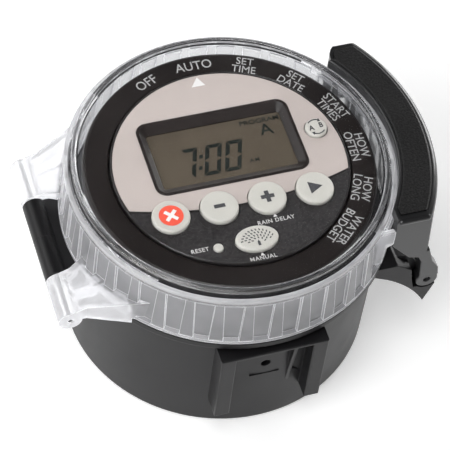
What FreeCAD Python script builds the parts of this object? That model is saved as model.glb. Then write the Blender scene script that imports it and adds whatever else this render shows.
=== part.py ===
import FreeCAD, Part
import math
import os

# Battery irrigation controller, in millimetres.
# A black bowl stands on the floor and holds a round timer module. A clear lid covers the module. It
# turns on a pin at -X, and a curved handle, which turns on a pin at +X, holds its rim shut.
# The origin is the middle of the bowl's foot, +Z goes up through the printed face, and +Y is the
# face's upper side.

# ---- driving dimensions -------------------------------------------------------------------------
FACE_Z = 75.0  # the printed face above the floor
FACE_R = 40.3
DIAL_R = 49.6

BOWL_TOP_R = 54.2  # outside of the bowl's wall, under its flange
BOWL_FOOT_R = 53.6
BOWL_WALL = 2.4
FLOOR_TOP = 3.9
FLOOR_UNDER = 1.5  # top of the shallow recesses in the foot
GASKET_GROOVE = (54.6, 56.2, 52.1)  # inner radius, outer radius, floor
FOOT_RECESS = (42.5, 47.5)
FLANGE_R = 57.0
FLANGE_TOP = 53.3
FLANGE_UNDER = 50.3
FOOT_ROUND = 1.8

LID_LOW = 53.6
LID_SHOULDER_R = 55.7
LID_SHOULDER_TOP = 76.0
WINDOW_UNDER = 76.9
WINDOW_TOP = 78.3
BEAD_R = 53.4
BEAD_TOP = 78.9
LID_ROUNDS = (  # radius, height and size of each rounded edge
    (LID_SHOULDER_R, LID_SHOULDER_TOP, 0.45),
    (BEAD_R, BEAD_TOP, 0.6),
    (BEAD_R - 1.4, BEAD_TOP, 0.5),
)
GROOVE_R = 54.4
GROOVE_FLOOR = 74.6
GROOVE_ENDS = (45.0, 133.0)  # degrees from +X, on both sides
RIB_COUNT = 36
RIB_START = -0.5  # degrees
RIM_BAND_R = 57.3
RIM_BAND_HALF = 41.0  # degrees
RIB_HALF_LOW = 2.35
RIB_HALF_HIGH = 1.45
RIB_TOP = 73.2

HINGE_X = -63.0
HINGE_Z = 51.2
HINGE_MID_Y = 1.0
BARREL_R = 3.9
BARREL_HALF = 15.8
KNUCKLE_R = 4.0
KNUCKLE_START = 16.2
KNUCKLE_END = 33.0
HINGE_PIN_R = 0.8
PIN_PRESS_GAP = 0.03  # radial, where a pin is pressed in
PIN_TURN_GAP = 0.06  # radial, where a part turns on a pin

LATCH_X = 62.2
LATCH_Z = 39.3
LATCH_MID_Y = 0.5
LATCH_HALF = 38.0  # to the outside of each end plate
LATCH_PLATE = 4.0
LATCH_IN_R = 57.8
ROOF_IN_R = 56.1  # the handle's top reaches in over the lid's rim band
ROOF_UNDER = 75.1
LATCH_OUT_R = 69.2
LATCH_TOP = 79.0
NOSE_R = 1.1
NOSE_X = (47.3, 56.4)
LATCH_PIN_R = 1.3
EAR_R = 4.0
LUG_R = 3.6
PART_GAP = 0.4  # between pieces that move past each other

PAD_HALF = 18.7
PAD_FRONT = 58.3
SHELF_TOP = 48.5
SHELF_UNDER = 47.0
RAIL_WIDTH = 5.3
RAIL_LOW = 14.9
SCREW_HOLE_R = 1.7
SCREW_HOLE_X = -1.0
SCREW_HOLE_Z = 35.5

CASE_R = 50.0
CASE_WALL = 1.8
CASE_LOW = 8.0
CASE_FLOOR = 10.0
CASE_TOP = 63.9
CASE_FLANGE_R = 53.0
CASE_FLANGE = (53.5, 55.1)
DECK = (64.0, 66.0)
PEDESTAL_OUT = 38.6
PEDESTAL_IN = 36.8
PEDESTAL_TOP = 68.9
POST_R = 3.2
POST_AT = 43.5
POST_LOW = 12.2
POST_ANGLES = (60.0, 180.0, 300.0)

BOARD = (63.4, 65.0)
BOARD_R = 36.2
PLATE_UNDER = 71.2
PLATE_SKIRT_R = 38.2
PRINT_FLOOR = 74.7
PRINT_TOP = 74.95
PRINT_R = 39.5
DIVIDER_R = 130.0  # the face's curved dividing line
DIVIDER_LOW = -16.5

LCD_X = -0.4
LCD_Y = 8.0
LCD_OUTER = (53.6, 30.8)
LCD_INNER = (47.0, 22.8)
LCD_CORNER = 4.0
LCD_LOW = 70.6
LCD_TOP = 72.75

BATTERY_R = 7.15
BATTERY_LENGTH = 49.5
BATTERY_Y = 7.7
BATTERY_Z = 18.6
LEAD_Y = 33.0
LEAD_BORE = 2.6
LEAD_HOLE_R = 4.4
GROMMET_RECESS_R = 6.6

# name: (x, y, half width, half height, top)
BUTTONS = {
    "button_clear": (-25.6, -16.4, 6.4, 6.4, 76.4),
    "button_minus": (-9.0, -16.4, 6.4, 6.4, 76.4),
    "button_plus": (7.6, -16.4, 6.4, 6.4, 76.4),
    "button_next": (24.2, -16.4, 6.4, 6.4, 76.4),
    "button_program": (32.7, 7.8, 3.8, 3.8, 76.2),
    "button_manual": (-0.8, -31.4, 7.3, 4.9, 76.4),
    "button_reset": (-13.9, -31.5, 1.7, 1.7, 75.3),
}
BUTTON_GAP = 0.3
BUTTON_LIP = 0.45
BUTTON_TRAVEL = 0.8
STEM_R = 1.9
STEM_LOW = 68.9
FACE_SCREWS = ((28.5, 19.5), (-29.6, 17.0), (20.0, -27.0), (-22.5, -26.5))


# ---- helpers ------------------------------------------------------------------------------------
def vec(x=0.0, y=0.0, z=0.0):
    return FreeCAD.Vector(x, y, z)


ORIGIN = vec()
UP = vec(z=1.0)


def cylinder(radius, low, high, x=0.0, y=0.0):
    return Part.makeCylinder(radius, high - low, vec(x, y, low))


def tube(outer, inner, low, high, x=0.0, y=0.0):
    return cylinder(outer, low, high, x, y).cut(cylinder(inner, low - 1.0, high + 1.0, x, y))


def rod_y(radius, y_low, y_high, x, z):
    return Part.makeCylinder(radius, y_high - y_low, vec(x, y_low, z), vec(y=1.0))


def rod_x(radius, x_low, x_high, y, z):
    return Part.makeCylinder(radius, x_high - x_low, vec(x_low, y, z), vec(x=1.0))


def block(x_low, x_high, y_low, y_high, z_low, z_high):
    size = (x_high - x_low, y_high - y_low, z_high - z_low)
    return Part.makeBox(*size, vec(x_low, y_low, z_low))


def polar(radius, degrees, z=0.0):
    angle = math.radians(degrees)
    return vec(radius * math.cos(angle), radius * math.sin(angle), z)


def turned(points, start=0.0, sweep=360.0):
    """A solid turned about the vertical axis from (radius, height) points."""
    wire = Part.makePolygon([vec(r, 0.0, z) for r, z in [*points, points[0]]])
    solid = Part.Face(wire).revolve(ORIGIN, UP, sweep)
    solid.rotate(ORIGIN, UP, start)
    return solid


def plan_prism(points, low, high):
    """A solid raised from (x, y) points."""
    wire = Part.makePolygon([vec(x, y, low) for x, y in [*points, points[0]]])
    return Part.Face(wire).extrude(vec(z=high - low))


def side_prism(points, y_low, y_high):
    """A solid stretched along Y from (x, z) points."""
    wire = Part.makePolygon([vec(x, y_low, z) for x, z in [*points, points[0]]])
    return Part.Face(wire).extrude(vec(y=y_high - y_low))


def oval(half_x, half_y, low, high, x, y):
    """An upright elliptic or round prism."""
    if half_x == half_y:
        return cylinder(half_x, low, high, x, y)
    edge = Part.Ellipse(vec(x, y, low), half_x, half_y).toShape()
    return Part.Face(Part.Wire(edge)).extrude(vec(z=high - low))


def rounded_outline(width, height, corner, z):
    """A rounded rectangle about the display's middle, as a wire."""
    base = block(-width / 2, width / 2, -height / 2, height / 2, 0.0, 1.0)
    upright = [e for e in base.Edges if abs(e.Vertexes[0].Z - e.Vertexes[1].Z) > 0.5]
    soft = base.makeFillet(corner, upright)
    floor = min(soft.Faces, key=lambda f: f.CenterOfMass.z)
    wire = floor.OuterWire.copy()
    wire.translate(vec(LCD_X, LCD_Y, z))
    return wire


def rounded(shape, radius, wanted):
    """The shape with the edges that wanted() picks rounded off."""
    return shape.makeFillet(radius, [e for e in shape.Edges if wanted(e)])


def is_circle(edge, radius, z):
    """Whether an edge is a level circle of that radius at that height."""
    curve = edge.Curve
    if not isinstance(curve, Part.Circle):
        return False
    return abs(curve.Radius - radius) < 0.01 and abs(curve.Center.z - z) < 0.01


def joined(shapes):
    return shapes[0].multiFuse(shapes[1:]).removeSplitter()


def without(shape, cutters):
    return shape.cut(Part.makeCompound(cutters))


def group(shapes):
    """Several pieces of one kind in one node, as separate solids."""
    return Part.makeCompound(shapes)


def save(name, shape):
    os.makedirs("parts", exist_ok=True)
    sound = shape.isValid() and all(s.isClosed() for s in shape.Solids)
    print(f"{name:20s} solids {len(shape.Solids)} volume {shape.Volume:9.1f} sound {sound}")
    shape.exportStep(f"parts/{name}.step")


# ---- the bowl -----------------------------------------------------------------------------------
def bowl_shell():
    inner = BOWL_TOP_R - BOWL_WALL
    recess_in, recess_out = FOOT_RECESS
    shell = turned(
        [
            (0.0, 0.0),
            (recess_in, 0.0),
            (recess_in, FLOOR_UNDER),
            (recess_out, FLOOR_UNDER),
            (recess_out, 0.0),
            (BOWL_FOOT_R, 0.0),
            (BOWL_TOP_R, FLANGE_UNDER),
            (FLANGE_R, FLANGE_UNDER),
            (FLANGE_R, FLANGE_TOP),
            (inner, FLANGE_TOP),
            (BOWL_FOOT_R - BOWL_WALL, FLOOR_TOP),
            (0.0, FLOOR_TOP),
        ]
    )
    shell = rounded(shell, FOOT_ROUND, lambda e: is_circle(e, BOWL_FOOT_R, 0.0))
    edges = ((FLANGE_R, FLANGE_TOP), (FLANGE_R, FLANGE_UNDER))
    return rounded(shell, 0.5, lambda e: any(is_circle(e, r, z) for r, z in edges))


def hinge_barrel():
    y_low = HINGE_MID_Y - BARREL_HALF
    y_high = HINGE_MID_Y + BARREL_HALF
    barrel = rod_y(BARREL_R, y_low, y_high, HINGE_X, HINGE_Z)
    barrel = rounded(barrel, 0.4, lambda e: isinstance(e.Curve, Part.Circle))
    seam = rod_y(BARREL_R + 1.0, HINGE_MID_Y - 0.12, HINGE_MID_Y + 0.12, HINGE_X, HINGE_Z)
    barrel = barrel.cut(seam.cut(rod_y(BARREL_R - 0.12, y_low, y_high, HINGE_X, HINGE_Z)))
    profile = [(HINGE_X, 47.4), (HINGE_X, FLANGE_TOP), (-54.0, FLANGE_TOP), (-53.5, 43.0)]
    return barrel.fuse(side_prism(profile, y_low, y_high))


def latch_bracket():
    """The long bracket with a hooked lip that the handle's pin passes through."""
    y_low = LATCH_MID_Y - LATCH_HALF
    y_high = LATCH_MID_Y + LATCH_HALF
    tip = vec(62.5, y_low, 26.5)
    heel = vec(46.9, y_low, 44.2)
    hollow = Part.Arc(tip, vec(57.6, y_low, 34.3), heel).toShape()
    rest = Part.makePolygon(
        [heel, vec(42.0, y_low, 47.0), vec(36.0, y_low, 47.5), vec(36.0, y_low, FLANGE_UNDER + 1.0),
         vec(50.0, y_low, FLANGE_UNDER + 1.0), vec(55.5, y_low, 47.0), vec(56.6, y_low, 40.0),
         vec(57.6, y_low, 36.2), vec(65.6, y_low, 36.2), tip]
    )
    beam = Part.Face(Part.Wire([hollow, *rest.Edges])).extrude(vec(y=y_high - y_low))
    beam = beam.cut(rod_y(EAR_R + PART_GAP, y_low - 1.0, y_high + 1.0, LATCH_X, LATCH_Z))
    lug_low = y_low + LATCH_PLATE + PART_GAP
    lug_high = y_high - LATCH_PLATE - PART_GAP
    profile = [(50.0, FLANGE_UNDER + 0.5), (56.4, 49.4), (60.2, 42.4), (60.2, 35.6), (50.0, 38.0)]
    lug = side_prism(profile, lug_low, lug_high)
    eye = rod_y(LUG_R, lug_low, lug_high, LATCH_X, LATCH_Z)
    foot = block(59.0, 65.4, lug_low, lug_high, 33.0, LATCH_Z)
    bracket = joined([beam, lug, eye, foot])
    return bracket.cut(cylinder(BOWL_TOP_R - 1.2, 0.0, 60.0))


def mounting_pad():
    """The shelf and two rails on the -Y side that slide over a wall bracket."""
    back = -45.0
    pieces = [block(-PAD_HALF, PAD_HALF, -PAD_FRONT, back, SHELF_UNDER, SHELF_TOP)]
    for low in (-PAD_HALF, PAD_HALF - RAIL_WIDTH):
        pieces.append(block(low, low + RAIL_WIDTH, -PAD_FRONT, back, RAIL_LOW, SHELF_TOP))
    pad = joined(pieces)
    front_edges = lambda e: all(abs(p.Y + PAD_FRONT) < 0.01 for p in e.Vertexes)
    pad = rounded(pad, 0.5, front_edges)
    gusset = Part.Face(
        Part.makePolygon([vec(7.4, -57.0, SHELF_UNDER), vec(7.4, back, SHELF_UNDER),
                          vec(7.4, back, 20.5), vec(7.4, -53.2, 20.5), vec(7.4, -57.0, SHELF_UNDER)])
    ).extrude(vec(x=1.3))
    ledge = block(-6.2, 4.2, -54.14, -53.0, 28.9, 29.2)
    return joined([pad, gusset, ledge]).cut(cylinder(BOWL_TOP_R - 1.2, 0.0, 60.0))


def bowl_housing():
    bowl = joined([bowl_shell(), hinge_barrel(), latch_bracket(), mounting_pad()])
    pocket_outline = [(9.4, SHELF_UNDER), (13.4, SHELF_UNDER), (13.4, 22.5), (11.6, 25.0), (9.4, 27.0)]
    pocket = side_prism(pocket_outline, -53.6, -52.4)
    groove_in, groove_out, groove_floor = GASKET_GROOVE
    all_y = 50.0
    holes = [
        rod_y(HINGE_PIN_R + PIN_PRESS_GAP, -all_y, all_y, HINGE_X, HINGE_Z),
        rod_y(LATCH_PIN_R + PIN_PRESS_GAP, -all_y, all_y, LATCH_X, LATCH_Z),
        rod_y(SCREW_HOLE_R, -PAD_FRONT, -all_y, SCREW_HOLE_X, SCREW_HOLE_Z),
        cylinder(LEAD_HOLE_R, -1.0, FLOOR_TOP + 1.0, 0.0, LEAD_Y),
        cylinder(GROMMET_RECESS_R, -1.0, FLOOR_UNDER, 0.0, LEAD_Y),
        tube(groove_out, groove_in, groove_floor, FLANGE_TOP + 1.0),
        pocket,
    ]
    return without(bowl, holes)


def grommet(low, high, flange):
    """A rubber ring with a flange on each side of the wall that it sits in."""
    ring = tube(4.3, LEAD_BORE, low - flange, high + flange, 0.0, LEAD_Y)
    lips = [tube(6.2, LEAD_BORE, low - flange, low - 0.02, 0.0, LEAD_Y),
            tube(6.2, LEAD_BORE, high + 0.02, high + flange, 0.0, LEAD_Y)]
    return joined([ring, *lips])


def hinge_pin():
    half = KNUCKLE_END - 0.2
    return rod_y(HINGE_PIN_R, HINGE_MID_Y - half, HINGE_MID_Y + half, HINGE_X, HINGE_Z)


def latch_pin():
    half = LATCH_HALF - 1.2
    return rod_y(LATCH_PIN_R, LATCH_MID_Y - half, LATCH_MID_Y + half, LATCH_X, LATCH_Z)


def rim_gasket():
    return turned([(54.7, 52.15), (56.1, 52.15), (56.1, 53.25), (55.4, 53.42), (54.7, 53.25)])


# ---- the lid ------------------------------------------------------------------------------------
def lid_shell():
    wall_r = 54.4
    shell = turned(
        [
            (0.0, WINDOW_UNDER),
            (51.0, WINDOW_UNDER),
            (52.0, 75.9),
            (52.4, 73.0),
            (53.9, LID_LOW),
            (FLANGE_R, LID_LOW),
            (FLANGE_R, LID_LOW + 1.4),
            (LID_SHOULDER_R, LID_LOW + 2.0),
            (wall_r, RIB_TOP - 0.4),
            (LID_SHOULDER_R, RIB_TOP),
            (LID_SHOULDER_R, LID_SHOULDER_TOP),
            (GROOVE_R, LID_SHOULDER_TOP),
            (GROOVE_R, GROOVE_FLOOR),
            (BEAD_R, GROOVE_FLOOR),
            (BEAD_R, BEAD_TOP),
            (BEAD_R - 1.4, BEAD_TOP),
            (BEAD_R - 1.8, WINDOW_TOP),
            (0.0, WINDOW_TOP),
        ]
    )
    for radius, height, size in LID_ROUNDS:
        shell = rounded(shell, size, lambda e: is_circle(e, radius, height))
    return shell


def groove_bridges():
    """The groove is filled level on the hinge side and behind the handle."""
    section = [(BEAD_R - 0.2, GROOVE_FLOOR - 0.2), (GROOVE_R + 0.2, GROOVE_FLOOR - 0.2),
               (GROOVE_R + 0.2, LID_SHOULDER_TOP), (BEAD_R - 0.2, LID_SHOULDER_TOP)]
    front, back = GROOVE_ENDS
    return [turned(section, -front, 2 * front), turned(section, back, 360.0 - 2 * back)]


def rib():
    low = LID_LOW + 1.0
    high = RIB_TOP + 0.4
    outline = [vec(53.0, -RIB_HALF_LOW, low), vec(53.0, RIB_HALF_LOW, low),
               vec(53.0, RIB_HALF_HIGH, high), vec(53.0, -RIB_HALF_HIGH, high)]
    wedge = Part.Face(Part.makePolygon([*outline, outline[0]])).extrude(vec(x=6.0))
    section = [(54.2, low), (FLANGE_R - 0.1, low), (LID_SHOULDER_R - 0.1, high), (53.2, high)]
    return wedge.common(turned(section, -6.0, 12.0))


def rib_ring():
    one = rib()
    ribs = []
    for index in range(RIB_COUNT):
        copy = one.copy()
        copy.rotate(ORIGIN, UP, RIB_START + index * 360.0 / RIB_COUNT)
        ribs.append(copy)
    return ribs


def sloped_block(points, drop):
    """An arm's outline raised to its sloping top, less a drop."""
    low = 49.0
    body = plan_prism(points, low, 70.0)
    start = (-70.0, 52.8 - drop)
    slope = side_prism([start, (-30.0, 66.4 - drop), (-30.0, 80.0), (-70.0, 80.0)], -60.0, 60.0)
    return body.cut(slope)


def lid_arm(side):
    """One hollow arm from the lid's wall to its hinge knuckle. side is +1 or -1."""
    mid = HINGE_MID_Y
    outline = [(HINGE_X, KNUCKLE_START), (-59.0, 15.9), (-52.0, 12.4), (-34.0, 30.0), (-38.4, 40.4),
               (-57.6, KNUCKLE_END), (HINGE_X, KNUCKLE_END)]
    cavities = [
        [(-59.4, 18.2), (-54.5, 15.4), (-48.0, 24.2), (-59.4, 24.2)],
        [(-59.4, 25.6), (-47.0, 25.6), (-38.0, 34.0), (-40.4, 37.8), (-57.0, 31.2), (-59.4, 31.2)],
    ]
    place = lambda points: [(x, mid + side * y) for x, y in points]
    arm = sloped_block(place(outline), 0.0)
    arm = without(arm, [sloped_block(place(hollow), 1.8) for hollow in cavities])
    arm = arm.cut(block(-70.0, -30.0, -60.0, 60.0, 0.0, HINGE_Z))
    barrel_way = block(-70.0, -50.0, mid - KNUCKLE_START, mid + KNUCKLE_START, 0.0, LID_LOW + 0.4)
    arm = without(arm, [barrel_way, cylinder(FLANGE_R + 0.5, 0.0, LID_LOW), cylinder(54.6, 0.0, 80.0)])
    ends = sorted((mid + side * KNUCKLE_START, mid + side * KNUCKLE_END))
    knuckle = rod_y(KNUCKLE_R, ends[0], ends[1], HINGE_X, HINGE_Z)
    return arm.fuse(knuckle)


def rim_band():
    """The thicker stretch of the lid's shoulder behind the handle."""
    section = [(54.8, 70.4), (56.0, 70.4), (RIM_BAND_R, 71.8), (RIM_BAND_R, 73.8), (56.6, 74.6), (54.8, 74.6)]
    return turned(section, -RIM_BAND_HALF, 2 * RIM_BAND_HALF)


def lid_tab():
    """A small upright tab on the lid beside the near end of the handle."""
    outline = [(38.0, 58.0), (42.4, 58.0), (42.8, 66.4), (45.2, 68.0), (45.2, 74.4), (44.4, 75.2),
               (38.0, 75.2)]
    return side_prism(outline, -39.1, -37.9).cut(cylinder(54.6, 50.0, 80.0))


def lid():
    whole = joined([lid_shell(), *rib_ring()])
    whole = joined([whole, *groove_bridges()])
    for side in (1, -1):
        whole = joined([whole, lid_arm(side)])
    whole = joined([whole, rim_band(), lid_tab()])
    y_low = HINGE_MID_Y - KNUCKLE_START
    y_high = HINGE_MID_Y + KNUCKLE_START
    barrel_way = rod_y(KNUCKLE_R + 0.2, y_low, y_high, HINGE_X, HINGE_Z)
    bore = rod_y(HINGE_PIN_R + PIN_TURN_GAP, -50.0, 50.0, HINGE_X, HINGE_Z)
    return without(whole, [barrel_way, bore])


# ---- the handle ---------------------------------------------------------------------------------
def grip_reach(inset, low=50.0):
    """The space between the handle's two ends, less an inset at each."""
    reach = LATCH_HALF - inset
    return block(30.0, 80.0, LATCH_MID_Y - reach, LATCH_MID_Y + reach, low, 90.0)


def grip_ends(inset):
    """What is trimmed off the handle's inner corners, moved outward by an inset."""
    low = 40.0
    y_end = LATCH_MID_Y + LATCH_HALF + 1.0
    start = vec(46.3 + inset, 33.0, low)
    end = vec(50.4 + inset, y_end, low)
    bend = Part.Arc(start, vec(47.1 + inset, 36.6, low), end).toShape()
    rest = Part.makePolygon([end, vec(40.0, y_end, low), vec(40.0, 33.0, low), start])
    far = Part.Face(Part.Wire([bend, *rest.Edges])).extrude(vec(z=50.0))
    return [far, block(40.0, 46.0 + inset, -44.0, -32.0, low, 90.0)]


def grip_arc():
    """The handle's curved channel, open below, with a rounded nose over the near end plate."""
    roof_under = 76.4
    section = [(LATCH_IN_R, 66.1), (LATCH_IN_R, ROOF_UNDER), (ROOF_IN_R, ROOF_UNDER),
               (ROOF_IN_R, LATCH_TOP), (LATCH_OUT_R, LATCH_TOP), (70.3, 57.2),
               (68.0, 57.2), (67.0, roof_under), (60.2, roof_under), (60.2, 66.1)]
    arc = turned(section, -50.0, 100.0)
    arc = rounded(arc, 2.2, lambda e: is_circle(e, LATCH_OUT_R, LATCH_TOP))
    arc = rounded(arc, 0.8, lambda e: is_circle(e, ROOF_IN_R, LATCH_TOP))
    arc = rounded(arc, 0.6, lambda e: is_circle(e, 70.3, 57.2))
    return arc.common(grip_reach(0.0))


def nose():
    """A rounded bar lying across the top of the handle's near end."""
    x_low, x_high = NOSE_X
    y = LATCH_MID_Y - LATCH_HALF - 0.2
    z = LATCH_TOP - NOSE_R - 0.1
    rod = Part.makeCylinder(NOSE_R, x_high - x_low, vec(x_low, y, z), vec(1.0, 0.0, 0.0))
    ends = [Part.makeSphere(NOSE_R, vec(x, y, z)) for x in NOSE_X]
    return joined([rod, *ends])


def end_plate(side):
    """A flat end of the handle, which narrows to the ear on the pin."""
    outer = LATCH_MID_Y + side * LATCH_HALF
    inner = outer - side * LATCH_PLATE
    y_low, y_high = sorted((outer, inner))
    cheek = [(44.0, 66.1), (44.0, 78.0), (58.2, 78.0), (59.4, 72.0), (60.6, 57.2), (62.9, 49.6),
             (65.6, 45.0), (66.1, 41.5), (65.4, 38.0), (LATCH_X, 37.0), (58.8, 38.6), (59.0, 42.4),
             (58.2, 51.1), (56.8, 53.8), (53.3, 55.0)]
    ear = rod_y(EAR_R, y_low, y_high, LATCH_X, LATCH_Z)
    beyond = turned([(LATCH_OUT_R - 1.1, 78.1), (LATCH_OUT_R - 0.1, 76.6), (70.2, 57.2), (85.0, 57.2),
                     (85.0, 85.0), (LATCH_OUT_R - 1.1, 85.0)])
    plate = side_prism(cheek, y_low, y_high).cut(beyond).fuse(ear).removeSplitter()
    on_face = lambda e: all(abs(v.Y - outer) < 0.01 for v in e.Vertexes)
    return rounded(plate, 0.5, lambda e: on_face(e) and e.CenterOfMass.z < 77.0)


def latch_handle():
    whole = joined([grip_arc(), end_plate(1), end_plate(-1), nose()])
    seat = turned([(57.2, LATCH_TOP - 0.5), (67.2, LATCH_TOP - 0.5), (67.2, LATCH_TOP + 1.0),
                   (57.2, LATCH_TOP + 1.0)], -45.0, 90.0)
    seat = without(seat.common(grip_reach(1.6)), grip_ends(1.3))
    bore = rod_y(LATCH_PIN_R + PIN_TURN_GAP, -50.0, 50.0, LATCH_X, LATCH_Z)
    lid_space = [cylinder(LATCH_IN_R, 40.0, ROOF_UNDER), cylinder(ROOF_IN_R, ROOF_UNDER, 90.0)]
    return without(whole, [seat, bore, *lid_space, *grip_ends(0.0)])


def latch_grip_pad():
    pad = turned([(57.3, LATCH_TOP - 0.48), (67.1, LATCH_TOP - 0.48), (67.1, LATCH_TOP),
                  (66.5, LATCH_TOP + 0.35), (57.9, LATCH_TOP + 0.35), (57.3, LATCH_TOP)], -45.0, 90.0)
    return without(pad.common(grip_reach(1.7)), grip_ends(1.4))


# ---- the timer module ---------------------------------------------------------------------------
def module_case():
    inner = CASE_R - CASE_WALL
    flange_low, flange_high = CASE_FLANGE
    cup = turned([(0.0, CASE_LOW), (CASE_R, CASE_LOW), (CASE_R, flange_low), (CASE_FLANGE_R, flange_low),
                  (CASE_FLANGE_R, flange_high), (CASE_R, flange_high), (CASE_R, CASE_TOP),
                  (inner, CASE_TOP), (inner, CASE_FLOOR), (0.0, CASE_FLOOR)])
    places = [polar(POST_AT, angle) for angle in POST_ANGLES]
    cup = joined([cup, *[cylinder(4.0, CASE_LOW, 12.0, p.x, p.y) for p in places]])
    holes = [cylinder(1.7, 0.0, 20.0, p.x, p.y) for p in places]
    holes += [cylinder(3.2, CASE_LOW - 1.0, CASE_FLOOR, p.x, p.y) for p in places]
    holes += [block(-29.0, 29.0, -17.5, 17.5, 0.0, 20.0), cylinder(LEAD_HOLE_R, 0.0, 20.0, 0.0, LEAD_Y)]
    return without(cup, holes)


def case_screws():
    screws = []
    for angle in POST_ANGLES:
        p = polar(POST_AT, angle)
        head = cylinder(2.9, CASE_LOW + 0.3, CASE_FLOOR - 0.05, p.x, p.y)
        slot = block(p.x - 2.0, p.x + 2.0, p.y - 0.4, p.y + 0.4, CASE_LOW, CASE_LOW + 0.9)
        slot = slot.fuse(block(p.x - 0.4, p.x + 0.4, p.y - 2.0, p.y + 2.0, CASE_LOW, CASE_LOW + 0.9))
        screws.append(head.fuse(cylinder(1.25, CASE_FLOOR - 0.1, 24.0, p.x, p.y)).cut(slot))
    return group(screws)


def module_deck():
    deck = tube(CASE_R - 0.2, PEDESTAL_IN, DECK[0], DECK[1])
    pedestal = tube(PEDESTAL_OUT, PEDESTAL_IN, DECK[0], PEDESTAL_TOP)
    places = [polar(POST_AT, angle) for angle in POST_ANGLES]
    posts = [cylinder(POST_R, POST_LOW, DECK[0] + 0.5, p.x, p.y) for p in places]
    bores = [cylinder(1.28, 0.0, 26.0, p.x, p.y) for p in places]
    return without(joined([deck, pedestal, *posts]), bores)


def battery_cover():
    cover = block(-28.8, 28.8, -17.3, 17.3, CASE_LOW, CASE_FLOOR - 0.05)
    grip = block(-8.0, 8.0, 13.0, 14.6, CASE_LOW - 1.0, CASE_LOW + 1.0)
    return cover.cut(grip)


def battery_tray():
    outside = block(-30.0, 30.0, -18.5, 18.5, CASE_FLOOR + 0.05, 28.0)
    return outside.cut(block(-28.4, 28.4, -17.0, 17.0, 0.0, 26.4))


def battery(side):
    """One AA cell. The two cells point opposite ways."""
    y = side * BATTERY_Y
    half = BATTERY_LENGTH / 2
    can = rod_x(BATTERY_R, -half, half, y, BATTERY_Z)
    can = rounded(can, 0.6, lambda e: isinstance(e.Curve, Part.Circle))
    nub = rod_x(2.7, half - 0.5, half + 1.0, y, BATTERY_Z)
    if side < 0:
        nub = rod_x(2.7, -half - 1.0, -half + 0.5, y, BATTERY_Z)
    return can.fuse(nub)


def battery_contacts():
    """The flat plates at each cell's positive end."""
    plates = []
    for side in (1, -1):
        x_low, x_high = sorted((side * 27.6, side * 28.2))
        y = side * BATTERY_Y
        plates.append(block(x_low, x_high, y - 5.0, y + 5.0, 11.5, 25.5))
    return group(plates)


def battery_springs():
    """The springs at each cell's negative end, as rings on a bar."""
    coil_r = 3.4
    wire_r = 0.3
    springs = []
    for side in (1, -1):
        y = side * BATTERY_Y
        bar_low, bar_high = sorted((-side * 25.3, -side * 28.1))
        pieces = [rod_x(wire_r, bar_low, bar_high, y, BATTERY_Z + coil_r)]
        for reach in (25.6, 26.7, 27.8):
            pieces.append(Part.makeTorus(coil_r, wire_r, vec(-side * reach, y, BATTERY_Z), vec(x=1.0)))
        springs.append(joined(pieces))
    return group(springs)


def circuit_board():
    board = cylinder(BOARD_R, BOARD[0], BOARD[1])
    holes = [cylinder(1.1, 0.0, 80.0, x, y) for x, y in FACE_SCREWS]
    return without(board, holes)


def tact_switches():
    """A small switch under each button, its plunger drawn at the end of its travel."""
    switches = []
    for x, y, half_x, _, _ in BUTTONS.values():
        half = min(2.5, 0.7 * half_x)
        body = block(x - half, x + half, y - half, y + half, BOARD[1] + 0.02, 67.6)
        plunger = cylinder(min(1.6, half - 0.3), 67.0, STEM_LOW - BUTTON_TRAVEL - 0.3, x, y)
        switches.append(body.fuse(plunger))
    return group(switches)


def main_chip():
    return block(-7.0, 7.0, -2.0, 12.0, BOARD[1] + 0.02, 66.8)


def storage_capacitor():
    can = cylinder(4.0, 50.0, BOARD[0] - 0.02, 14.0, -24.0)
    return rounded(can, 0.5, lambda e: is_circle(e, 4.0, 50.0))


def quartz_crystal():
    return rod_x(1.5, -26.0, -18.0, 2.0, BOARD[0] - 1.52)


def lead_terminal():
    body = block(-6.0, 6.0, 22.0, 30.0, 54.0, BOARD[0] - 0.02)
    return without(body, [cylinder(1.6, 50.0, 60.0, x, 26.0) for x in (-3.0, 3.0)])


def face_screws():
    screws = []
    for x, y in FACE_SCREWS:
        head = cylinder(1.9, 62.1, BOARD[0] - 0.02, x, y)
        screws.append(head.fuse(cylinder(0.88, 63.0, 69.5, x, y)))
    return group(screws)


# ---- the face -----------------------------------------------------------------------------------
def button_ways(low, high):
    """The holes that the buttons pass through."""
    ways = []
    for x, y, half_x, half_y, _ in BUTTONS.values():
        ways.append(oval(half_x + BUTTON_GAP, half_y + BUTTON_GAP, low, high, x, y))
    return ways


def display_way(gap):
    outline = rounded_outline(LCD_OUTER[0] + 2 * gap, LCD_OUTER[1] + 2 * gap, LCD_CORNER + gap, 60.0)
    return Part.Face(outline).extrude(vec(z=20.0))


def face_plate():
    low = PEDESTAL_TOP + 0.1
    body = turned([(0.0, PLATE_UNDER), (PLATE_SKIRT_R, PLATE_UNDER), (PLATE_SKIRT_R, low), (FACE_R, low),
                   (FACE_R, FACE_Z - 0.3), (FACE_R - 0.3, FACE_Z), (PRINT_R + 0.1, FACE_Z),
                   (PRINT_R + 0.1, PRINT_FLOOR), (0.0, PRINT_FLOOR)])
    bosses = [cylinder(1.8, BOARD[1] + 0.05, PLATE_UNDER + 0.5, x, y) for x, y in FACE_SCREWS]
    middle = DIVIDER_LOW + DIVIDER_R
    divider = tube(DIVIDER_R + 0.25, DIVIDER_R - 0.25, PRINT_FLOOR - 0.3, FACE_Z + 0.05, 0.0, middle)
    divider = divider.common(cylinder(PRINT_R + 0.3, 70.0, 80.0))
    body = joined([body, divider, *bosses])
    bores = [cylinder(0.92, 60.0, 70.5, x, y) for x, y in FACE_SCREWS]
    return without(body, [*bores, *button_ways(60.0, 80.0), display_way(0.05)])


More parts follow.
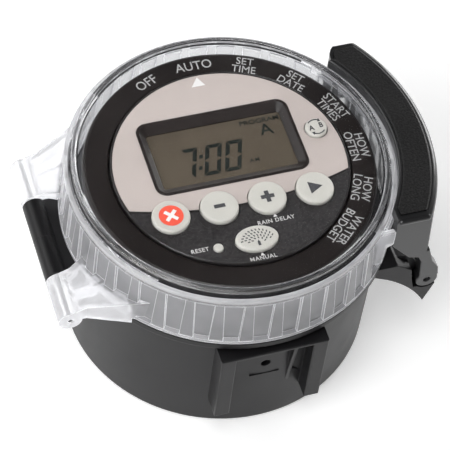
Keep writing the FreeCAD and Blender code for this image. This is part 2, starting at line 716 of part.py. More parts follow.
def face_print(upper):
    """The printed film on one side of the dividing line."""
    film = cylinder(PRINT_R, PRINT_FLOOR + 0.01, PRINT_TOP)
    middle = DIVIDER_LOW + DIVIDER_R
    if upper:
        film = film.common(cylinder(DIVIDER_R - 0.3, 70.0, 80.0, 0.0, middle))
    else:
        film = film.cut(cylinder(DIVIDER_R + 0.3, 70.0, 80.0, 0.0, middle))
    return without(film, [*button_ways(60.0, 80.0), display_way(0.05)])


def lcd_bezel():
    """The display's glossy frame, whose walls slope in to the glass."""
    low = LCD_TOP + 0.1
    high = FACE_Z + 0.1
    frame = Part.Face(rounded_outline(*LCD_OUTER, LCD_CORNER, low)).extrude(vec(z=high - low))
    mouth = rounded_outline(LCD_OUTER[0] - 2.0, LCD_OUTER[1] - 2.0, LCD_CORNER - 1.0, high + 0.01)
    throat = rounded_outline(*LCD_INNER, 0.8, low - 0.01)
    return frame.cut(Part.makeLoft([throat, mouth], True))


def lcd_glass():
    outline = rounded_outline(LCD_OUTER[0] - 1.2, LCD_OUTER[1] - 1.2, LCD_CORNER - 0.6, LCD_LOW)
    return Part.Face(outline).extrude(vec(z=LCD_TOP - LCD_LOW))


def zebra_strips():
    strips = []
    for y in (LCD_Y - 12.5, LCD_Y + 12.5):
        strips.append(block(LCD_X - 23.0, LCD_X + 23.0, y - 1.1, y + 1.1, BOARD[1] + 0.02, LCD_LOW - 0.02))
    return group(strips)


def button(name):
    x, y, half_x, half_y, top = BUTTONS[name]
    lip_top = PLATE_UNDER - 0.2
    cap = oval(half_x, half_y, lip_top - 0.5, top, x, y)
    cap = rounded(cap, min(0.8, half_x / 3), lambda e: abs(e.CenterOfMass.z - top) < 0.01)
    lip = oval(half_x + BUTTON_LIP, half_y + BUTTON_LIP, lip_top - 1.0, lip_top, x, y)
    stem = cylinder(min(STEM_R, half_x), STEM_LOW, lip_top - 0.5, x, y)
    return joined([cap, lip, stem])


# ---- the dial -----------------------------------------------------------------------------------
def dial_ring():
    low = DECK[1] + PART_GAP
    top = FACE_Z - 0.8
    ring = turned([(38.9, low), (42.0, low), (42.0, 71.6), (47.6, 71.6), (47.6, low), (DIAL_R - 0.2, low),
                   (DIAL_R, 72.7), (49.1, 73.8), (48.3, top), (41.2, top), (40.7, top - 0.4), (40.7, 68.6),
                   (38.9, 68.6)])
    notches = []
    for index in range(16):
        p = polar(47.5, index * 22.5)
        notches.append(cylinder(0.7, low - 1.0, 70.0, p.x, p.y))
    return without(ring, notches)


def dial_wiper():
    """The spring contact under the dial that reads its position."""
    leaf = turned([(42.8, 71.0), (45.8, 71.0), (45.8, 71.58), (42.8, 71.58)], 75.0, 30.0)
    finger = turned([(43.6, 67.5), (44.6, 67.5), (44.6, 71.2), (43.6, 71.2)], 88.0, 3.0)
    return leaf.fuse(finger)


def selector_board():
    return tube(46.0, 42.4, DECK[1] + 0.02, 67.1)


def dial_detent():
    """A steel leaf on the deck whose bump drops into the dial's notches."""
    leaf = turned([(46.3, DECK[1] + 0.02), (46.7, DECK[1] + 0.02), (46.7, 69.4), (46.3, 69.4)], 247.0, 46.0)
    p = polar(46.8, 270.0)
    return leaf.fuse(cylinder(0.5, DECK[1] + 0.02, 69.4, p.x, p.y))


NODES = {
    "bowl_housing": bowl_housing,
    "rim_gasket": rim_gasket,
    "bowl_grommet": lambda: grommet(FLOOR_UNDER, FLOOR_TOP, 1.2),
    "hinge_pin": hinge_pin,
    "latch_pin": latch_pin,
    "lid": lid,
    "latch_handle": latch_handle,
    "latch_grip_pad": latch_grip_pad,
    "module_case": module_case,
    "module_grommet": lambda: grommet(CASE_LOW, CASE_FLOOR, 1.1),
    "case_screws": case_screws,
    "module_deck": module_deck,
    "battery_cover": battery_cover,
    "battery_tray": battery_tray,
    "battery_1": lambda: battery(1),
    "battery_2": lambda: battery(-1),
    "battery_contacts": battery_contacts,
    "battery_springs": battery_springs,
    "circuit_board": circuit_board,
    "tact_switches": tact_switches,
    "main_chip": main_chip,
    "storage_capacitor": storage_capacitor,
    "quartz_crystal": quartz_crystal,
    "lead_terminal": lead_terminal,
    "face_screws": face_screws,
    "face_plate": face_plate,
    "face_upper_print": lambda: face_print(True),
    "face_lower_print": lambda: face_print(False),
    "lcd_bezel": lcd_bezel,
    "lcd_glass": lcd_glass,
    "zebra_strips": zebra_strips,
    "dial_ring": dial_ring,
    "dial_wiper": dial_wiper,
    "selector_board": selector_board,
    "dial_detent": dial_detent,
}

for node_name, make in NODES.items():
    save(node_name, make())
for button_name in BUTTONS:
    save(button_name, button(button_name))
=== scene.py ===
import math

import bmesh
import bpy
from mathutils import Matrix, Vector


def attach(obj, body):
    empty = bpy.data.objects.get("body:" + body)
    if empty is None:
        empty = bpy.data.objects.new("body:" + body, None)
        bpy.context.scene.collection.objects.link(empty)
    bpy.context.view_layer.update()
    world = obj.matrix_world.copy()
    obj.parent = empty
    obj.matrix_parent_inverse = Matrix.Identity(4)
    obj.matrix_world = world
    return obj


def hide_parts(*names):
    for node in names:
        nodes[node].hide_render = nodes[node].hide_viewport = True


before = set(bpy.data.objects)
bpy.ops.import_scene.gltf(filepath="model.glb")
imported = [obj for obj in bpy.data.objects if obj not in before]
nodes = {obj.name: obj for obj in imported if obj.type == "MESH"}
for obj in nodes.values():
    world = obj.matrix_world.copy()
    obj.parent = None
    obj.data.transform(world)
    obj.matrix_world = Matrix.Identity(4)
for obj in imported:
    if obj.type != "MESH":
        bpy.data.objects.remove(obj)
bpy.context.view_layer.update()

# Looks for the irrigation controller, in the CAD's own frame. Sizes are in millimetres and become metres
# through mm() or MM; lights and camera are in metres.
MM = 0.001
DIAL_TOP = 74.2
FILM_TOP = 74.95
LCD_TOP = 72.75
KEY_TOP = 76.4
PROGRAM_KEY_TOP = 76.2
PRINT_THICKNESS = 0.05
HINGE = (-63.0, 51.2)  # x, z of the lid's hinge line
HINGE_MID_Y = 1.0


def mm(*values):
    return tuple(v * MM for v in values)


# ---- node helpers -------------------------------------------------------------------------------
class Graph:
    """A material being built out of nodes."""

    def __init__(self, name):
        self.material = bpy.data.materials.new(name)
        self.material.use_nodes = True
        self.tree = self.material.node_tree
        self.tree.nodes.clear()
        self.output = self.add("ShaderNodeOutputMaterial")

    def add(self, kind, **settings):
        node = self.tree.nodes.new(kind)
        for key, value in settings.items():
            setattr(node, key, value)
        return node

    def link(self, source, target):
        self.tree.links.new(source, target)

    def place(self):
        return self.add("ShaderNodeTexCoord").outputs["Object"]

    def value(self, operation, *inputs):
        node = self.add("ShaderNodeMath", operation=operation)
        for socket, item in zip(node.inputs, inputs):
            if isinstance(item, (int, float)):
                socket.default_value = item
            else:
                self.link(item, socket)
        return node.outputs[0]

    def smooth(self, source, low, high, to_low=0.0, to_high=1.0):
        node = self.add("ShaderNodeMapRange", interpolation_type="SMOOTHSTEP")
        self.link(source, node.inputs["Value"])
        node.inputs["From Min"].default_value = low
        node.inputs["From Max"].default_value = high
        node.inputs["To Min"].default_value = to_low
        node.inputs["To Max"].default_value = to_high
        return node.outputs[0]

    def noise(self, scale, detail=2.0, roughness=0.5):
        node = self.add("ShaderNodeTexNoise")
        node.inputs["Scale"].default_value = scale
        node.inputs["Detail"].default_value = detail
        node.inputs["Roughness"].default_value = roughness
        self.link(self.place(), node.inputs["Vector"])
        return node.outputs["Fac"]

    def tint(self, factor, dark, light):
        node = self.add("ShaderNodeMix", data_type="RGBA")
        self.link(factor, node.inputs["Factor"])
        node.inputs[6].default_value = (*dark, 1.0)
        node.inputs[7].default_value = (*light, 1.0)
        return node.outputs[2]

    def bump(self, height, strength, distance, below=None):
        node = self.add("ShaderNodeBump")
        node.inputs["Strength"].default_value = strength
        node.inputs["Distance"].default_value = distance
        self.link(height, node.inputs["Height"])
        if below is not None:
            self.link(below, node.inputs["Normal"])
        return node.outputs["Normal"]

    def soft_edges(self, radius, samples=4):
        node = self.add("ShaderNodeBevel", samples=samples)
        node.inputs["Radius"].default_value = radius
        return node.outputs["Normal"]

    def blend(self, factor, first, second):
        node = self.add("ShaderNodeMixShader")
        if isinstance(factor, float):
            node.inputs["Fac"].default_value = factor
        else:
            self.link(factor, node.inputs["Fac"])
        self.link(first.outputs[0], node.inputs[1])
        self.link(second.outputs[0], node.inputs[2])
        return node

    def finish(self, shader):
        self.link(shader, self.output.inputs["Surface"])
        return self.material


def plastic(name, color, roughness, grain=2500.0, depth=0.15, edge=0.25, spread=0.12, coat=0.0, grain_height=0.06,
            mottle=60.0, specular=0.5):
    """Moulded plastic or similar: fine grain, uneven gloss, a little colour variation, soft edges."""
    g = Graph(name)
    shader = g.add("ShaderNodeBsdfPrincipled")
    broad = g.noise(60.0, 3.0)
    speckle = g.noise(mottle, 3.0)
    fine = g.noise(grain, 2.0)
    dark = [c * (1.0 - spread) for c in color]
    light = [min(1.0, c * (1.0 + spread)) for c in color]
    g.link(g.tint(g.smooth(speckle, 0.3, 0.7), dark, light), shader.inputs["Base Color"])
    g.link(g.smooth(broad, 0.3, 0.7, roughness * 0.92, roughness * 1.08), shader.inputs["Roughness"])
    g.link(g.bump(fine, depth, grain_height * MM, g.soft_edges(edge * MM)), shader.inputs["Normal"])
    shader.inputs["Specular IOR Level"].default_value = specular
    shader.inputs["Coat Weight"].default_value = coat
    shader.inputs["Coat Roughness"].default_value = 0.08
    return g.finish(shader.outputs[0])


def ink(name, color):
    """Flat screen print, a shade uneven."""
    g = Graph(name)
    shader = g.add("ShaderNodeBsdfPrincipled")
    g.link(g.tint(g.noise(500.0), [c * 0.94 for c in color], color), shader.inputs["Base Color"])
    shader.inputs["Roughness"].default_value = 0.5
    shader.inputs["Specular IOR Level"].default_value = 0.3
    return g.finish(shader.outputs[0])


def metal(name, color, roughness):
    """Bare metal with an uneven polish."""
    g = Graph(name)
    shader = g.add("ShaderNodeBsdfPrincipled")
    streaks = g.noise(900.0, 3.0, 0.6)
    shader.inputs["Metallic"].default_value = 1.0
    g.link(g.tint(streaks, [c * 0.85 for c in color], color), shader.inputs["Base Color"])
    g.link(g.smooth(streaks, 0.3, 0.7, roughness * 0.8, roughness * 1.2), shader.inputs["Roughness"])
    g.link(g.bump(streaks, 0.1, 0.00002), shader.inputs["Normal"])
    return g.finish(shader.outputs[0])


# How cloudy each part of the lid is, 0 to 1, where the edge and shoulder values paint highlights rather than cloud,
# and how dark the painted shade line beside its bead is.
WALL_MILK, BEAD_MILK, SHOULDER_PAINTED_HIGHLIGHT, ARM_MILK, EDGE_PAINTED_HIGHLIGHT = 0.40, 0.03, 0.40, 0.26, 0.95
GROOVE_PAINTED_SHADE = 0.85
LID_EDGE_R = 0.30
# The pale tint serves the frosted arms and also the painted highlight on edges and shoulder.
MILK_DARK, MILK_THROUGH, MILK_PALE_AND_HIGHLIGHT = (0.58, 0.58, 0.60), (0.64, 0.64, 0.66), (0.95, 0.95, 0.97)


def clear_plastic(name):
    """Clear moulded polycarbonate: clean over the face, a little cloudy in the wall, ribs and arms,
    with a painted highlight on rounded edges and the shoulder, and a painted shade line inside the bead."""
    g = Graph(name)
    split = g.add("ShaderNodeSeparateXYZ")
    g.link(g.place(), split.inputs[0])
    x, y, z = split.outputs
    radius = g.value("SQRT", g.value("ADD", g.value("MULTIPLY", x, x), g.value("MULTIPLY", y, y)))

    def out(low, high):
        """1 beyond the radius high, 0 within low, in millimetres; swapped, it is 1 within."""
        return g.smooth(radius, *mm(low, high))

    def up(low, high):
        """The same for height."""
        return g.smooth(z, *mm(low, high))

    def both(first, second):
        return g.value("MULTIPLY", first, second)

    def either(first, second):
        return g.value("MAXIMUM", first, second)

    wall = both(out(53.8, 54.6), up(74.5, 73.5))
    bead = both(out(51.0, 51.4), up(77.0, 77.6))
    # Painted highlight: the shoulder band is made milky and pale to paint its bright ring.
    shoulder = both(out(54.0, 54.4), up(73.5, 75.0))
    arms = both(out(57.2, 58.0), up(69.0, 68.0))
    milk_and_highlight = 0.0
    for mask, amount in ((wall, WALL_MILK), (bead, BEAD_MILK), (shoulder, SHOULDER_PAINTED_HIGHLIGHT), (arms, ARM_MILK)):
        milk_and_highlight = either(milk_and_highlight, both(mask, amount))

    # Painted highlight: near the rim, where the bevelled normal turns from the true normal, the lid is made milky
    # and pale, painting a bright line along its rounded edges.
    turned = g.add("ShaderNodeVectorMath", operation="DOT_PRODUCT")
    g.link(g.soft_edges(LID_EDGE_R * MM, 8), turned.inputs[0])
    g.link(g.add("ShaderNodeNewGeometry").outputs["True Normal"], turned.inputs[1])
    near_rim = both(either(out(53.8, 54.6), up(76.8, 77.4)), out(50.5, 51.5))
    edge = both(g.smooth(turned.outputs["Value"], 0.995, 0.92), near_rim)
    # Painted shade: a near-black coat is mixed in beside the bead and along the low ring, a painted dark line where
    # the clear groove looks dark.
    low_ring = both(up(75.7, 75.4), out(54.7, 54.3))
    bead_side = both(up(77.4, 76.8), out(53.7, 53.5))
    groove_painted_shade = both(both(both(either(low_ring, bead_side), out(53.1, 53.3)), up(73.8, 74.1)), GROOVE_PAINTED_SHADE)
    haze = g.smooth(g.noise(70.0), 0.3, 0.7, 0.88, 1.08)
    milk_and_highlight = both(either(milk_and_highlight, both(edge, EDGE_PAINTED_HIGHLIGHT)), haze)
    pale_frost_and_highlight = either(edge, either(shoulder, arms))

    glass = g.add("ShaderNodeBsdfPrincipled")
    glass.inputs["Base Color"].default_value = (0.985, 0.99, 0.995, 1.0)
    glass.inputs["Transmission Weight"].default_value = 1.0
    glass.inputs["IOR"].default_value = 1.5
    g.link(both(haze, 0.03), glass.inputs["Roughness"])
    white = g.add("ShaderNodeBsdfDiffuse")
    g.link(g.tint(pale_frost_and_highlight, MILK_DARK, MILK_PALE_AND_HIGHLIGHT), white.inputs["Color"])
    through = g.add("ShaderNodeBsdfTranslucent")
    g.link(g.tint(pale_frost_and_highlight, MILK_THROUGH, MILK_PALE_AND_HIGHLIGHT), through.inputs["Color"])
    shade = g.add("ShaderNodeBsdfPrincipled")
    shade.inputs["Base Color"].default_value = (0.012, 0.012, 0.014, 1.0)
    shade.inputs["Roughness"].default_value = 0.12
    open_way = g.add("ShaderNodeBsdfTransparent")
    open_way.inputs["Color"].default_value = (0.98, 0.982, 0.985, 1.0)
    mixed = g.blend(milk_and_highlight, glass, g.blend(0.5, white, through))
    lined = g.blend(groove_painted_shade, mixed, shade)
    shadow = g.blend(g.add("ShaderNodeLightPath").outputs["Is Shadow Ray"], lined, open_way)
    return g.finish(shadow.outputs[0])


def dress(material, *names):
    for name in names:
        data = nodes[name].data
        data.materials.clear()
        data.materials.append(material)


# ---- mesh helpers -------------------------------------------------------------------------------
def new_piece(name, bm, material, body, smooth=False):
    mesh = bpy.data.meshes.new(name)
    bmesh.ops.recalc_face_normals(bm, faces=bm.faces)
    bm.to_mesh(mesh)
    bm.free()
    mesh.materials.append(material)
    if smooth:
        mesh.shade_smooth()
    piece = bpy.data.objects.new(name, mesh)
    bpy.context.scene.collection.objects.link(piece)
    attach(piece, body)
    return piece


def plate(bm, outline, z, thickness=PRINT_THICKNESS):
    """A thin flat piece from (x, y) points in millimetres, lying on height z."""
    low = [bm.verts.new(mm(x, y, z)) for x, y in outline]
    high = [bm.verts.new(mm(x, y, z + thickness)) for x, y in outline]
    bm.faces.new(low[::-1])
    bm.faces.new(high)
    count = len(outline)
    for i in range(count):
        j = (i + 1) % count
        bm.faces.new((low[i], low[j], high[j], high[i]))


def disc(cx, cy, radius, steps=48):
    angles = [2 * math.pi * i / steps for i in range(steps)]
    return [(cx + radius * math.cos(a), cy + radius * math.sin(a)) for a in angles]


def turned_about(cx, cy, points, turn):
    c, s = math.cos(math.radians(turn)), math.sin(math.radians(turn))
    return [(cx + c * x - s * y, cy + s * x + c * y) for x, y in points]


def bar(cx, cy, width, height, turn=0.0):
    w, h = width / 2, height / 2
    return turned_about(cx, cy, [(-w, -h), (w, -h), (w, h), (-w, h)], turn)


def cross(cx, cy, reach, half, turn=0.0):
    corners = [(reach, half), (half, half), (half, reach), (-half, reach), (-half, half), (-reach, half)]
    corners += [(-x, -y) for x, y in corners]
    return turned_about(cx, cy, corners, turn)


def arc_band(cx, cy, radius, width, start, end, steps=16):
    angles = [math.radians(start + (end - start) * i / steps) for i in range(steps + 1)]
    outer = [(cx + (radius + width / 2) * math.cos(a), cy + (radius + width / 2) * math.sin(a)) for a in angles]
    inner = [(cx + (radius - width / 2) * math.cos(a), cy + (radius - width / 2) * math.sin(a)) for a in angles]
    return outer + inner[::-1]


def prints(name, outlines, z, material, body):
    bm = bmesh.new()
    for outline in outlines:
        plate(bm, outline, z)
    return new_piece(name, bm, material, body)


def words(name, lines, size, z, body, material, narrow=1.0, bold=0.0, spacing=1.0):
    """Raised print. lines holds (text, x, y, turn in degrees) in millimetres."""
    bm = bmesh.new()
    for text, x, y, turn in lines:
        curve = bpy.data.curves.new(name + "_curve", "FONT")
        curve.body = text
        curve.size = size * MM
        curve.align_x = "CENTER"
        curve.align_y = "CENTER"
        curve.extrude = PRINT_THICKNESS * MM / 2
        curve.offset = bold * MM
        curve.space_character = spacing
        curve.resolution_u = 3
        holder = bpy.data.objects.new(name + "_holder", curve)
        bpy.context.scene.collection.objects.link(holder)
        bpy.context.view_layer.update()
        mesh = bpy.data.meshes.new_from_object(holder)
        turned = Matrix.Rotation(math.radians(turn), 4, "Z") @ Matrix.Diagonal((narrow, 1.0, 1.0, 1.0))
        mesh.transform(Matrix.Translation(mm(x, y, z + PRINT_THICKNESS / 2)) @ turned)
        bm.from_mesh(mesh)
        bpy.data.objects.remove(holder)
        bpy.data.curves.remove(curve)
        bpy.data.meshes.remove(mesh)
    return new_piece(name, bm, material, body)


# ---- materials ----------------------------------------------------------------------------------
BOWL = plastic("bowl_black", (0.0055, 0.0052, 0.0060), 0.40, 2200.0, 0.35, 0.5, specular=0.32)
HANDLE = plastic("handle_black", (0.018, 0.018, 0.019), 0.30, 2600.0, 0.04, 0.5, coat=0.25)
GRIP = plastic("grip_black", (0.0075, 0.0072, 0.0075), 0.5, 1300.0, 1.0, 0.3, 0.95, grain_height=0.10, mottle=1500.0,
               specular=0.32)
RUBBER = plastic("gasket_rubber", (0.02, 0.02, 0.02), 0.6)
CASE = plastic("case_grey", (0.045, 0.045, 0.048), 0.45)
DIAL = plastic("dial_black", (0.0095, 0.0070, 0.0065), 0.32, 3000.0, 0.10, 0.25)
FACE = plastic("face_black", (0.018, 0.016, 0.016), 0.30, 3000.0, 0.10, 0.2)
BEIGE = plastic("print_beige", (0.435, 0.380, 0.355), 0.5, 3500.0, 0.08, 0.02, 0.03)
CHARCOAL = plastic("print_charcoal", (0.0145, 0.0125, 0.013), 0.5, 3500.0, 0.3, 0.02, 0.85, mottle=1300.0)
IVORY = plastic("key_ivory", (0.48, 0.468, 0.43), 0.38, 3000.0, 0.10, 0.4, 0.02)
LCD_FRAME = plastic("lcd_frame", (0.013, 0.009, 0.008), 0.34, 3000.0, 0.03, 0.35)
LCD = plastic("lcd_olive", (0.085, 0.070, 0.052), 0.22, 4000.0, 0.02, 0.05, 0.05)
SEGMENT = ink("lcd_segment", (0.006, 0.009, 0.007))
INK_LIGHT = ink("ink_light", (0.72, 0.71, 0.70))
INK_LABEL = ink("ink_label", (0.58, 0.57, 0.56))
INK_DIAL = ink("ink_dial", (0.40, 0.40, 0.40))
INK_RED = ink("ink_red", (0.72, 0.085, 0.050))
INK_GREY = ink("ink_grey", (0.055, 0.055, 0.060))
BOARD = plastic("board_green", (0.02, 0.13, 0.055), 0.4)
CHIP = plastic("chip_black", (0.03, 0.03, 0.03), 0.5)
CELL = plastic("cell_jacket", (0.03, 0.06, 0.12), 0.3)
TERMINAL = plastic("terminal_green", (0.03, 0.22, 0.08), 0.45)
ZEBRA = plastic("zebra_rubber", (0.12, 0.12, 0.12), 0.6)
STEEL = metal("pin_steel", (0.45, 0.45, 0.46), 0.3)
PIN = plastic("pin_dark", (0.010, 0.010, 0.011), 0.35)
BRASS = metal("contact_brass", (0.62, 0.47, 0.22), 0.3)
CAN = metal("can_metal", (0.62, 0.63, 0.64), 0.25)
CLEAR = clear_plastic("lid_clear")

dress(BOWL, "bowl_housing")
dress(HANDLE, "latch_handle")
dress(GRIP, "latch_grip_pad")
dress(RUBBER, "rim_gasket", "bowl_grommet", "module_grommet")
dress(CASE, "module_case", "module_deck", "battery_cover", "battery_tray")
dress(DIAL, "dial_ring")
dress(FACE, "face_plate")
dress(BEIGE, "face_upper_print")
dress(CHARCOAL, "face_lower_print")
dress(LCD_FRAME, "lcd_bezel")
dress(LCD, "lcd_glass")
dress(BOARD, "circuit_board", "selector_board")
dress(CHIP, "tact_switches", "main_chip")
dress(CELL, "battery_1", "battery_2")
dress(TERMINAL, "lead_terminal")
dress(ZEBRA, "zebra_strips")
dress(STEEL, "hinge_pin", "latch_pin", "case_screws", "battery_contacts", "battery_springs", "face_screws",
      "dial_detent")
dress(BRASS, "dial_wiper")
dress(CAN, "storage_capacitor", "quartz_crystal")
dress(CLEAR, "lid")
dress(IVORY, *[n for n in nodes if n.startswith("button_")])

# ---- the dial's stations ------------------------------------------------------------------------
SINGLE_SIZE, SINGLE_R = 5.3, 44.4
DOUBLE_SIZE, DOUBLE_R = 4.35, (46.0, 42.4)
STATIONS = [  # degrees round the dial, lines of text
    (113.1, ["OFF"]),
    (89.4, ["AUTO"]),
    (66.6, ["SET", "TIME"]),
    (43.7, ["SET", "DATE"]),
    (20.9, ["START", "TIMES"]),
    (-2.3, ["HOW", "OFTEN"]),
    (-25.6, ["HOW", "LONG"]),
    (-48.5, ["WATER", "BUDGET"]),
]


def at(radius, degrees):
    a = math.radians(degrees)
    return radius * math.cos(a), radius * math.sin(a)


single_lines = []
double_lines = []
for angle, text in STATIONS:
    if len(text) == 1:
        single_lines.append((text[0], *at(SINGLE_R, angle), angle - 90.0))
    else:
        for line, radius in zip(text, DOUBLE_R):
            double_lines.append((line, *at(radius, angle), angle - 90.0))
words("dial_print_large", single_lines, SINGLE_SIZE, DIAL_TOP, "dial", INK_DIAL, 0.88)
words("dial_print_small", double_lines, DOUBLE_SIZE, DIAL_TOP, "dial", INK_DIAL, 0.92)

# ---- prints on the face -------------------------------------------------------------------------
prints("face_pointer", [[(-0.2, 38.8), (-3.1, 34.9), (1.7, 34.9)]], FILM_TOP, INK_LIGHT, "base")
key_arrows = [
    [(8.0, -22.7), (7.3, -24.0), (8.7, -24.0)],
    [(-0.75, -36.65), (-1.45, -37.85), (-0.05, -37.85)],
]
prints("key_arrows", key_arrows, FILM_TOP, INK_LIGHT, "base")
LABELS = [("RESET", -20.1, -31.2, 0.0), ("RAIN DELAY", 7.8, -25.35, 0.0), ("MANUAL", -0.8, -38.75, 0.0)]
words("face_labels", LABELS, 2.15, FILM_TOP, "base", INK_LABEL, 0.97, 0.03, 1.12)

# ---- the display --------------------------------------------------------------------------------
SLANT = 0.33
DIGIT_LOW, DIGIT_WIDTH, DIGIT_HEIGHT = -1.0, 5.8, 12.4
STROKE, STROKE_GAP = 1.5, 0.2
COLON_X, COLON_HEIGHTS = -10.7, (3.6, 8.2)
SEGMENTS = {"7": "abc", "0": "abcdef"}


def slanted(points):
    return [(x + SLANT * (y - DIGIT_LOW), y) for x, y in points]


def digit(text, left):
    """One figure of the display, as outlines of the strokes that are lit."""
    right = left + DIGIT_WIDTH
    low, high = DIGIT_LOW, DIGIT_LOW + DIGIT_HEIGHT
    mid = (low + high) / 2
    t, gap = STROKE, STROKE_GAP
    shapes = {
        "a": [(left + gap, high), (right - gap, high), (right - t, high - t), (left + t, high - t)],
        "b": [(right, high - gap), (right, mid + gap), (right - t, mid + gap + t / 2), (right - t, high - t - gap)],
        "c": [(right, mid - gap), (right, low + gap), (right - t, low + t + gap), (right - t, mid - gap - t / 2)],
        "d": [(left + t, low + t), (right - t, low + t), (right - gap, low), (left + gap, low)],
        "e": [(left, mid - gap), (left + t, mid - gap - t / 2), (left + t, low + t + gap), (left, low + gap)],
        "f": [(left, high - gap), (left + t, high - t - gap), (left + t, mid + gap + t / 2), (left, mid + gap)],
    }
    return [slanted(shapes[key]) for key in SEGMENTS[text]]


segments = digit("7", -18.0) + digit("0", -9.3) + digit("0", -2.1)
segments += [slanted(bar(COLON_X, DIGIT_LOW + h, 1.3, 1.5)) for h in COLON_HEIGHTS]
prints("lcd_digits", segments, LCD_TOP, SEGMENT, "base")
words("lcd_program", [("PROGRAM", 15.6, 17.3, 0.0)], 2.6, LCD_TOP, "base", SEGMENT, 1.16, 0.05)
words("lcd_am", [("AM", 9.2, 1.6, 0.0)], 2.4, LCD_TOP, "base", SEGMENT, 0.95, 0.03, 1.25)
words("lcd_letter", [("A", 16.9, 13.1, 0.0)], 6.6, LCD_TOP, "base", SEGMENT, 1.05, 0.08)

# ---- marks on the keys --------------------------------------------------------------------------
ROW_Y = -16.4
CLEAR_X, MINUS_X, PLUS_X, NEXT_X = -25.6, -9.0, 7.6, 24.2
PROGRAM_XY = (32.7, 7.8)
MANUAL_XY = (-0.8, -31.4)


prints("clear_disc", [disc(CLEAR_X, ROW_Y, 4.1)], KEY_TOP, INK_RED, "clear_key")
prints("clear_cross", [cross(CLEAR_X, ROW_Y, 2.6, 0.62, 45.0)], KEY_TOP + PRINT_THICKNESS, INK_LIGHT, "clear_key")
prints("minus_mark", [bar(MINUS_X, ROW_Y, 3.8, 1.45)], KEY_TOP, INK_GREY, "minus_key")
prints("plus_mark", [cross(PLUS_X, ROW_Y, 2.3, 0.75)], KEY_TOP, INK_GREY, "plus_key")
prints("next_mark", [[(NEXT_X - 2.0, ROW_Y - 2.5), (NEXT_X + 2.6, ROW_Y), (NEXT_X - 2.0, ROW_Y + 2.5)]], KEY_TOP,
       INK_GREY, "next_key")

px, py = PROGRAM_XY
cycle = [arc_band(px, py, 3.0, 0.42, a, a + 78.0) for a in (62.0, 242.0)]
for a in (60.0, 240.0):
    tip, low, high = at(3.0, a - 16.0), at(2.25, a + 4.0), at(3.75, a + 4.0)
    cycle.append([(px + q[0], py + q[1]) for q in (tip, low, high)])
prints("program_cycle", cycle, PROGRAM_KEY_TOP, INK_GREY, "program_key")
words("program_letters", [("A", px - 1.75, py - 0.3, 0.0), ("B", px + 1.75, py + 0.3, 0.0)], 2.8, PROGRAM_KEY_TOP,
      "program_key", INK_GREY, 0.9, 0.08)

mx, my = MANUAL_XY
spray = [bar(mx, my - 2.6, 0.9, 1.5), [(mx - 0.45, my - 1.9), (mx + 0.45, my - 1.9), (mx, my - 1.0)]]
for ring, (reach, count) in enumerate(((2.2, 5), (3.2, 8), (4.3, 10), (5.4, 12))):
    for i in range(count):
        a = 18.0 + 144.0 * (i + 0.5 * (ring % 2)) / (count - 0.5)
        dx, dy = at(reach, a)
        spray.append(bar(mx + dx * 1.05, my - 2.4 + dy, 0.8, 0.42, a + 25.0))
prints("manual_spray", spray, KEY_TOP, INK_GREY, "manual_key")

# ---- the lid's threaded pin ---------------------------------------------------------------------
PIN_HALF = 32.8
PIN_R = 0.79
PIN_DEPTH = 0.28
PIN_PITCH = 1.2


def threaded_pin():
    """A pin with a fine V thread, in place of the CAD's plain hinge pin."""
    bm = bmesh.new()
    around, per_turn = 16, 8
    rows = int(2 * PIN_HALF / PIN_PITCH) * per_turn
    rings = []
    for row in range(rows + 1):
        y = HINGE_MID_Y - PIN_HALF + 2 * PIN_HALF * row / rows
        ring = []
        for i in range(around):
            turn = i / around
            phase = (row / per_turn - turn) % 1.0
            r = PIN_R - PIN_DEPTH * abs(2 * phase - 1)
            a = 2 * math.pi * turn
            ring.append(bm.verts.new(mm(HINGE[0] + r * math.cos(a), y, HINGE[1] + r * math.sin(a))))
        rings.append(ring)
    for low, high in zip(rings, rings[1:]):
        for i in range(around):
            j = (i + 1) % around
            bm.faces.new((low[i], low[j], high[j], high[i]))
    bm.faces.new(rings[0])
    bm.faces.new(rings[-1])
    pin = new_piece("hinge_pin_thread", bm, PIN, "base", True)
    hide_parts("hinge_pin")


threaded_pin()

# ---- floor, lights, camera ----------------------------------------------------------------------
floor_mesh = bpy.data.meshes.new("floor")
floor_bm = bmesh.new()
for corner in ((-4, -4), (4, -4), (4, 4), (-4, 4)):
    floor_bm.verts.new((*corner, 0.0))
floor_bm.faces.new(floor_bm.verts)
floor_bm.to_mesh(floor_mesh)
floor_bm.free()
pale = Graph("floor_white")
paper = pale.add("ShaderNodeBsdfPrincipled")
paper.inputs["Base Color"].default_value = (0.93, 0.93, 0.93, 1.0)
paper.inputs["Roughness"].default_value = 0.9
paper.inputs["Specular IOR Level"].default_value = 0.1
paper.inputs["Emission Color"].default_value = (1.0, 1.0, 1.0, 1.0)
paper.inputs["Emission Strength"].default_value = 0.30
floor_mesh.materials.append(pale.finish(paper.outputs[0]))
floor = bpy.data.objects.new("floor", floor_mesh)
bpy.context.scene.collection.objects.link(floor)

world = bpy.data.worlds.new("studio")
world.use_nodes = True
bpy.context.scene.world = world
sky = world.node_tree
back = sky.nodes["Background"]
direction = sky.nodes.new("ShaderNodeTexCoord")
height = sky.nodes.new("ShaderNodeSeparateXYZ")
ramp = sky.nodes.new("ShaderNodeMapRange")
ramp.interpolation_type = "SMOOTHSTEP"
sky.links.new(direction.outputs["Generated"], height.inputs[0])
sky.links.new(height.outputs["Z"], ramp.inputs["Value"])
ramp.inputs["From Min"].default_value = 0.35
ramp.inputs["From Max"].default_value = 0.80
ramp.inputs["To Min"].default_value = 0.62
ramp.inputs["To Max"].default_value = 0.09
sky.links.new(ramp.outputs[0], back.inputs["Strength"])


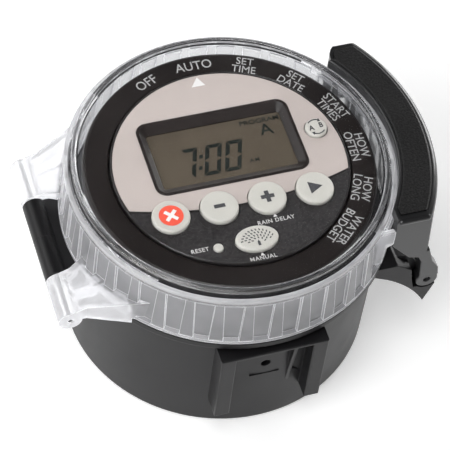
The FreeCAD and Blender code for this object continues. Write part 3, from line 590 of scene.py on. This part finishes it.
def soft_light(name, place, size, power):
    data = bpy.data.lights.new(name, "AREA")
    data.shape = "RECTANGLE"
    data.size, data.size_y = size
    data.energy = power
    light = bpy.data.objects.new(name, data)
    bpy.context.scene.collection.objects.link(light)
    light.location = place
    light.rotation_mode = "QUATERNION"
    light.rotation_quaternion = (Vector((0, 0, 0.04)) - Vector(place)).to_track_quat("-Z", "Y")


LIGHTS = (  # name, place, size, watts
    ("key", (-0.75, -0.45, 0.75), (0.7, 0.7), 7.5),
    ("fill", (0.8, -0.7, 0.55), (0.6, 0.6), 1.5),
    ("overhead", (-0.25, -0.35, 1.2), (0.6, 0.6), 4.5),
    ("behind", (0.35, 1.1, 0.45), (0.9, 0.4), 3.0),
    ("left_back", (-0.80, 0.65, 0.62), (0.9, 0.7), 4.2),
    ("right_back", (0.95, 0.60, 0.30), (0.5, 0.45), 6.0),
    ("low_left", (-1.1, -0.25, 0.12), (0.5, 0.22), 3.2),
)
for light_settings in LIGHTS:
    soft_light(*light_settings)

AZIMUTH, ELEVATION, ROLL = (math.radians(v) for v in (-23.405, 53.653, 7.715))
DISTANCE = 0.7637
SENSOR, LENS = 36.0, 184.16
AIM = Vector(mm(-6.52, -17.15, 66.46))
away = Vector((math.sin(AZIMUTH) * math.cos(ELEVATION), -math.cos(AZIMUTH) * math.cos(ELEVATION),
               math.sin(ELEVATION)))
level = Vector((math.cos(AZIMUTH), math.sin(AZIMUTH), 0.0))
upward = away.cross(level)
right = math.cos(ROLL) * level + math.sin(ROLL) * upward
top = -math.sin(ROLL) * level + math.cos(ROLL) * upward
camera_data = bpy.data.cameras.new("camera")
camera_data.sensor_width = SENSOR
camera_data.lens = LENS
camera_data.clip_start, camera_data.clip_end = 0.05, 20.0
camera = bpy.data.objects.new("camera", camera_data)
bpy.context.scene.collection.objects.link(camera)
spot = AIM + away * DISTANCE
camera.matrix_world = Matrix((
    (right.x, top.x, away.x, spot.x),
    (right.y, top.y, away.y, spot.y),
    (right.z, top.z, away.z, spot.z),
    (0.0, 0.0, 0.0, 1.0),
))
bpy.context.scene.camera = camera
bpy.context.scene.view_settings.view_transform = "Standard"
